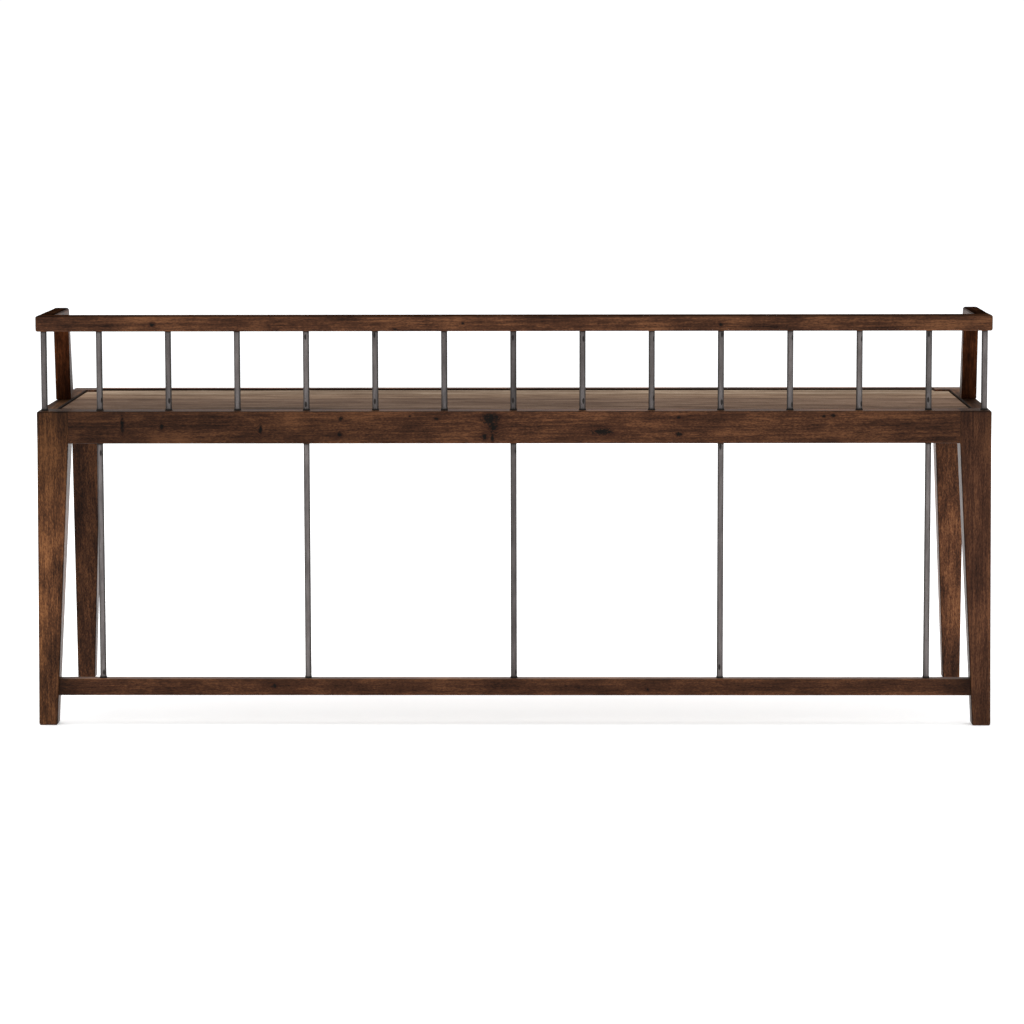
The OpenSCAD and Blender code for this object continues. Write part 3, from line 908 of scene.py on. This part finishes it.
class BENCH_OT_back(bpy.types.Operator):
    """Build the top rail, the arms and the arm posts"""

    bl_idname = "bench.back"
    bl_label = "Back and Arms"
    bl_options = {"REGISTER", "UNDO"}

    def execute(self, context):
        wood = context.scene.bench_wood
        self.top_rail(wood)
        for side, sign in SIDES:
            self.arm(side, sign, wood)
            self.post(side, sign, wood)
        return {"FINISHED"}

    def top_rail(self, wood):
        r = wood.arris
        lo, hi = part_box("top_rail")
        stations = straight(lo.x, hi.x, (lo.y, hi.y, lo.z, hi.z), (r * 0.8, r, r, r * 0.8))
        stain = ((lo.x, 0.72), (-0.4, 0.76), (0.1, 0.86), (0.5, 0.84), (hi.x, 0.72))
        ends = (FREE_END, FREE_END)
        # Painted shade along the rounding of its top
        piece = shaped("top_rail_shaped", X, stations, ends, 31, (0.0, 0.008), stain=stain, dull=painted_edge_shade)
        knots = (
            (0.575, 0.014, 0.007, 0.006), (0.189, 0.021, 0.009, 0.003),
            (0.080, 0.012, 0.006, 0.004), (-0.330, 0.015, 0.006, 0.005),
        )
        look = {"figure": 0.9, "streak": 0.85, "cloud": 1.1, "speckle": 0.7}
        material = stained_wood("top_rail_wood", wood, knots=on_face(knots, hi), **look)
        # Its top is a darker, matt copy of the wood, painted shade
        upper = stained_wood("top_rail_upper_wood", wood, tone=0.35, gloss=0.0)
        fit(piece, "top_rail", "frame_wood", material, upper)

    def arm(self, side, sign, wood):
        """The arm's front end leans with the post under it."""
        node = f"arm_{side}"
        lo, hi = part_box(node)
        low = level(node, lo.z)[0].y
        high = level(node, hi.z)[0].y
        slope = (high - low) / (hi.z - lo.z)
        rect = (lo.x, hi.x, lo.z, hi.z)
        radii = (wood.arris, 0.0042, 0.0042, wood.arris)
        stations = [((low + high) / 2, rect, radii, slope), (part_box("top_rail")[0].y, rect, radii, 0.0)]
        ends = (0.0040, wood.seam)
        # Painted shade along the rounding of its top
        piece = shaped(node + "_shaped", Y, stations, ends, 33 + sign, (0.004, 0.008), dull=painted_edge_shade)
        material = stained_wood(f"arm_wood_{side}", wood, tone=0.72)
        # Its top is a nearly black, matt copy of the wood, painted shade, and its sides a lighter, glossier
        # copy, a painted sheen
        upper = stained_wood(f"arm_upper_wood_{side}", wood, tone=0.13, gloss=0.0)
        waxed = stained_wood(f"arm_side_sheen_wood_{side}", wood, gloss=0.12)
        fit(piece, node, "arm_wood", material, upper, waxed)

    def post(self, side, sign, wood):
        node = f"arm_post_{side}"
        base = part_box("rear_rail")[1].z
        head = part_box(f"arm_{side}")[0].z
        stations = []
        for z in (base, head):
            lo, hi = level(node, z)
            stations.append((z, (lo.x, hi.x, lo.y, hi.y), (wood.arris,) * 4, 0.0))
        # Darkest at the foot, painted shade where the post stands on the rail, and darker again under the
        # arm
        stain = ((base, 0.45), (base + 0.025, 0.75), (base + 0.07, 1.1), (head, 0.75))
        piece = shaped(node + "_shaped", Z, stations, (wood.seam, wood.seam), 36 + sign, stain=stain)
        # Its sides take a lighter, glossier copy of the wood than its other faces, a painted sheen
        tone = (0.56, 0.42, 0.32)
        material = stained_wood(f"arm_post_wood_{side}", wood, tone=tone, figure=0.8, gloss=0.01)
        waxed = stained_wood(f"arm_post_side_sheen_wood_{side}", wood, gloss=0.22)
        fit(piece, node, "arm_wood", material, None, waxed)


class BENCH_OT_seat_boards(bpy.types.Operator):
    """Build the seat boards, cut round the legs at the corners"""

    bl_idname = "bench.seat_boards"
    bl_label = "Seat Boards"
    bl_options = {"REGISTER", "UNDO"}

    def execute(self, context):
        seat = context.scene.bench_seat
        # Each board's tone, from the rear one to the front one
        tones = (0.74, 0.74, 0.80, (1.12, 1.16, 1.12), (1.45, 1.65, 1.68))
        look = {"gloss": 0.02, "streak": 1.35, "cloud": 0.8, "speckle": 0.2}
        names = sorted(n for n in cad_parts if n.startswith("seat_board_"))
        for number, node in enumerate(names):
            lo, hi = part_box(node)
            rect = (lo.y, hi.y, lo.z, hi.z)
            radii = (seat.edge,) * 4
            points = [v.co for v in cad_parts[node].data.vertices]
            at_end = [p.y for p in points if p.x > hi.x - TOUCHING]
            end_rect = (min(at_end), max(at_end), lo.z, hi.z)
            stations = straight(-hi.x, hi.x, rect, radii)
            # A board beside the legs is narrower at its ends
            if end_rect[1] - end_rect[0] < rect[1] - rect[0] - 0.002:
                shoulder = max(p.x for p in points if p.x < hi.x - TOUCHING)
                stations = [
                    *straight(-hi.x, -shoulder, end_rect, radii),
                    *straight(-shoulder, shoulder, rect, radii),
                    *straight(shoulder, hi.x, end_rect, radii),
                ]
            # The boards are lighter towards the ends, and the rear one has a dark patch
            worn = 1.7 - 0.12 * number
            left = [(-hi.x, worn), (-0.62, worn - 0.2)]
            right = [(0.62, 1.05), (hi.x, 1.35)]
            if number == 0:
                left = [(-hi.x, 0.85), (-0.62, 1.10)]
                right = [(0.24, 0.90), (0.33, 0.56), (0.42, 0.56), (0.50, 0.85), (hi.x, 1.0)]
            stain = [*left, (-0.35, 1.18), (0.0, 1.0), *right]
            ends = (seat.edge, seat.edge)
            run = (0.012 - 0.005 * number, 0.010)
            piece = shaped(node + "_shaped", X, stations, ends, 50 + number, run, uneven=0.0002, stain=stain)
            material = stained_wood(node + "_wood", seat, tone=tones[number % len(tones)], **look)
            fit(piece, node, "seat_wood", material)
        return {"FINISHED"}


class BENCH_OT_bars(bpy.types.Operator):
    """Build the spindles of the back and the rods below the seat"""

    bl_idname = "bench.bars"
    bl_label = "Spindles and Rods"
    bl_options = {"REGISTER", "UNDO"}

    def execute(self, context):
        iron = context.scene.bench_iron
        material = waxed_iron("waxed_iron", iron)
        seat_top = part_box("rear_rail")[1].z
        seat_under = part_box("rear_rail")[0].z
        rail_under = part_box("top_rail")[0].z
        stretcher_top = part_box("stretcher")[1].z
        for node in sorted(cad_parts):
            if node.startswith("spindle_"):
                self.bar(node, seat_top, rail_under, iron.dent, material)
            if node.startswith("lower_rod_"):
                self.bar(node, stretcher_top, seat_under, iron.dent, material)
        return {"FINISHED"}

    def bar(self, node, low, high, dent, material):
        """One drawn bar. Low and high are where it comes out of the wood."""
        lo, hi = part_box(node)
        radius = (hi.x - lo.x) / 2
        cx, cy = (lo.x + hi.x) / 2, (lo.y + hi.y) / 2
        seed = sum(ord(c) * (i + 3) for i, c in enumerate(node))
        rng = random.Random(seed)
        heights = {lo.z + 0.0005, hi.z - 0.0005}
        for edge, into in ((low, 1), (high, -1)):
            heights.update(edge + into * d for d in (-0.0004, 0.0005, 0.0012, 0.0022, 0.0040, 0.006, 0.010))
        count = round((high - low) / 0.016)
        heights.update(low + (high - low) * i / count for i in range(1, count))
        bm = bmesh.new()
        bar = bm.verts.layers.float_vector.new("bar")
        foot = bm.verts.layers.float.new("foot")
        shade = bm.verts.layers.float.new("stain")
        sideways_shade = bm.verts.layers.float.new("sideways_shade")
        spot = bm.verts.layers.float_vector.new("spot")
        offset = Vector((rng.uniform(0, 5), rng.uniform(0, 5), rng.uniform(0, 5)))
        tone = {"spindle_08": 0.62, "lower_rod_3": 0.78}.get(node, rng.uniform(0.82, 1.25))
        sides = 28
        rings = []
        for z in sorted(heights):
            ring = []
            # Painted shade darkens both ends, where the bar meets the wood, and reaches further at the foot
            near = min(z - low, (high - z) * 1.6)
            share = max(0.0, min(1.0, 1 - (near - 0.0022) / 0.0020))
            for i in range(sides):
                a = 2 * math.pi * i / sides
                c, s = math.cos(a), math.sin(a)
                wobble = noise.noise(Vector((c * 1.3 + seed, s * 1.3, z * 42)))
                r = radius - dent * (1 + wobble)
                # Where the bar leaves the wood it swells into a ring of wax, dark with the painted shade of
                # its foot
                if -0.001 < z - low < 0.0025:
                    swell = math.sqrt(max(0.0, 1 - max(0.0, z - low) / SHADE_RING_TOP))
                    r += SHADE_RING * swell * (1 + 0.25 * wobble)
                vert = bm.verts.new((cx + r * c, cy + r * s, z))
                vert[bar] = Vector((r * c, r * s, z)) + offset
                vert[spot] = vert.co
                vert[foot] = share
                vert[shade] = tone
                # Painted shade on the sides of a bar, more on the one towards the middle of the bench
                inward = 1.0 if c * cx < 0 else 0.55
                vert[sideways_shade] = inward * min(1.0, max(0.0, (abs(c) - 0.50) / 0.36))
                ring.append(vert)
            rings.append(ring)
        skin(bm, rings)
        bm.faces.new(list(reversed(rings[0])))
        bm.faces.new(rings[-1])
        mesh = bpy.data.meshes.new(node + "_drawn")
        bm.to_mesh(mesh)
        bm.free()
        piece = as_piece(node + "_drawn", mesh)
        # Most bars have a pit near each end. A pit that a bar lacks is marked below the floor
        a = math.pi * rng.choice((0.6, 0.75, 0.3, 0.45, 1.3))
        pits = {"mark_low": low + rng.uniform(0.009, 0.020), "mark_high": high - rng.uniform(0.006, 0.016)}
        for mark, height in pits.items():
            z = height if rng.random() < 0.75 else -1.0
            where = (cx + radius * math.cos(a), cy + radius * math.sin(a), z)
            layer = mesh.attributes.new(mark, "FLOAT_VECTOR", "POINT")
            layer.data.foreach_set("vector", list(where) * len(mesh.vertices))
        fit(piece, node, "iron", material)


class BENCH_OT_under_seat(bpy.types.Operator):
    """Finish the cleats, corner blocks, battens, screws and bolts that the CAD frame already shapes"""

    bl_idname = "bench.under_seat"
    bl_label = "Under the Seat"
    bl_options = {"REGISTER", "UNDO"}

    def execute(self, context):
        finishes = (
            (("cleat_rear", "cleat_front", "block_"), plain_wood("cleat_wood_long", X)),
            (("cleat_left", "cleat_right", "seat_batten_"), plain_wood("cleat_wood_short", Y)),
            (("corner_bolts", "cleat_screws", "batten_screws"), zinc_plate("zinc_plate")),
        )
        for name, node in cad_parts.items():
            for starts, finish in finishes:
                if name.startswith(starts):
                    node.data.materials.clear()
                    node.data.materials.append(finish)
        return {"FINISHED"}


class BENCH_OT_stage(bpy.types.Operator):
    """Lay the floor, and set up the soft lights, the pale surroundings and the camera"""

    bl_idname = "bench.stage"
    bl_label = "Stage"
    bl_options = {"REGISTER", "UNDO"}

    def execute(self, context):
        stage = context.scene.bench_stage
        self.floor(context, stage)
        self.surroundings(context)
        # The rear of the bench is its show side, so the two large lights stand behind it
        self.light(context, "rear_left_light", (2.9, 4.6, 2.2), (0.0, 0.1, 0.35), 2.6, 35)
        self.light(context, "rear_right_light", (-3.1, 4.6, 2.2), (0.0, 0.1, 0.35), 2.6, 45)
        self.light(context, "overhead_light", (0.0, -0.3, 3.6), (0.0, 0.0, 0.0), 3.0, 60, False)
        self.light(context, "front_light", (0.8, -4.6, 3.0), (0.0, 0.0, 0.3), 2.6, 40, False)
        self.camera(context, stage)
        return {"FINISHED"}

    def floor(self, context, stage):
        bm = bmesh.new()
        middle = bm.verts.new((0, 0, 0))
        count = 96
        turns = [2 * math.pi * i / count for i in range(count)]
        rings = []
        for share in (0.01, 0.04, 0.15, 0.5, 1.0):
            r = stage.floor_size * share
            rings.append([bm.verts.new((r * math.cos(a), r * math.sin(a), 0)) for a in turns])
        for i in range(count):
            j = (i + 1) % count
            bm.faces.new((middle, rings[0][i], rings[0][j]))
            for a, b in zip(rings, rings[1:]):
                bm.faces.new((a[i], b[i], b[j], a[j]))
        mesh = bpy.data.meshes.new("studio_floor")
        bm.to_mesh(mesh)
        bm.free()
        floor = bpy.data.objects.new("studio_floor", mesh)
        mesh.materials.append(studio_floor("studio_floor", stage.floor))
        context.scene.collection.objects.link(floor)

    def surroundings(self, context):
        """A pale studio: bright in front of the bench, dimmer behind it, and plain white to the camera."""
        world = bpy.data.worlds.new("studio")
        context.scene.world = world
        world.use_nodes = True
        sky = Nodes(world.node_tree)
        parts = sky.split(sky.node("TexCoord").outputs["Generated"])
        depth = sky.spread(parts["Y"], -0.7, 0.7, 1.0, 0.6)
        height = sky.spread(parts["Z"], 0.0, 0.8, 0.25, 1.50)
        white = (1, 1, 1)
        lit = sky.node("Background", white, sky.math("MULTIPLY", depth, height))
        seen = sky.node("Background", white, 1.05)
        camera_sees = sky.node("LightPath").outputs["Is Camera Ray"]
        mix = sky.node("MixShader", camera_sees, lit.outputs[0], seen.outputs[0])
        sky.node("OutputWorld", mix.outputs[0])

    def light(self, context, name, place, aim, size, power, mirrored=True):
        lamp = bpy.data.lights.new(name, "AREA")
        lamp.shape = "SQUARE"
        lamp.size = size
        lamp.energy = power
        lamp.color = (1.0, 0.985, 0.965)
        made = bpy.data.objects.new(name, lamp)
        made.location = place
        made.rotation_euler = (Vector(aim) - Vector(place)).to_track_quat("-Z", "Y").to_euler()
        made.visible_glossy = mirrored
        context.scene.collection.objects.link(made)

    def camera(self, context, stage):
        lens = bpy.data.cameras.new("studio_camera")
        lens.sensor_width = 36.0
        lens.lens = stage.lens
        lens.clip_end = 500.0
        camera = bpy.data.objects.new("studio_camera", lens)
        place = (-0.0908, 6.2338, 1.0345)
        # How far it looks down, to one side and askew, in radians
        dip, turn, roll = 0.11464, 0.01559, -0.00217
        ahead = Vector((math.sin(turn), -math.cos(turn), 0.0))
        right = Vector((-math.cos(turn), -math.sin(turn), 0.0))
        look = ahead * math.cos(dip) - Vector((0, 0, math.sin(dip)))
        above = Vector((0, 0, math.cos(dip))) + ahead * math.sin(dip)
        across = right * math.cos(roll) + above * math.sin(roll)
        upward = above * math.cos(roll) - right * math.sin(roll)
        aim = Matrix((across, upward, -look)).transposed().to_4x4()
        camera.matrix_world = Matrix.Translation(place) @ aim
        context.scene.collection.objects.link(camera)
        context.scene.camera = camera
        context.scene.view_settings.view_transform = "Standard"


OPERATORS = (
    BENCH_OT_legs,
    BENCH_OT_seat_frame,
    BENCH_OT_back,
    BENCH_OT_seat_boards,
    BENCH_OT_bars,
    BENCH_OT_under_seat,
    BENCH_OT_stage,
)


class BENCH_PT_panel(bpy.types.Panel):
    """The bench's sizes, finishes and build steps"""

    bl_idname = "BENCH_PT_panel"
    bl_label = "Entryway Bench"
    bl_space_type = "VIEW_3D"
    bl_region_type = "UI"
    bl_category = "Bench"

    def draw(self, context):
        layout = self.layout
        scene = context.scene
        for title, group in (
            ("Wood", scene.bench_wood),
            ("Seat", scene.bench_seat),
            ("Iron", scene.bench_iron),
            ("Stage", scene.bench_stage),
        ):
            box = layout.box()
            box.label(text=title)
            for name in group.__annotations__:
                box.prop(group, name)
        for operator in OPERATORS:
            layout.operator(operator.bl_idname)


GROUPS = (
    ("bench_wood", BenchWood),
    ("bench_seat", BenchSeat),
    ("bench_iron", BenchIron),
    ("bench_stage", BenchStage),
)


def register():
    for name, group in GROUPS:
        bpy.utils.register_class(group)
        setattr(bpy.types.Scene, name, bpy.props.PointerProperty(type=group))
    for operator in OPERATORS:
        bpy.utils.register_class(operator)
    bpy.utils.register_class(BENCH_PT_panel)


def unregister():
    bpy.utils.unregister_class(BENCH_PT_panel)
    for operator in reversed(OPERATORS):
        bpy.utils.unregister_class(operator)
    for name, group in reversed(GROUPS):
        delattr(bpy.types.Scene, name)
        bpy.utils.unregister_class(group)


def main():
    register()
    bpy.ops.bench.legs()
    bpy.ops.bench.seat_frame()
    bpy.ops.bench.back()
    bpy.ops.bench.seat_boards()
    bpy.ops.bench.bars()
    bpy.ops.bench.under_seat()
    bpy.ops.bench.stage()


if __name__ == "__main__":
    main()
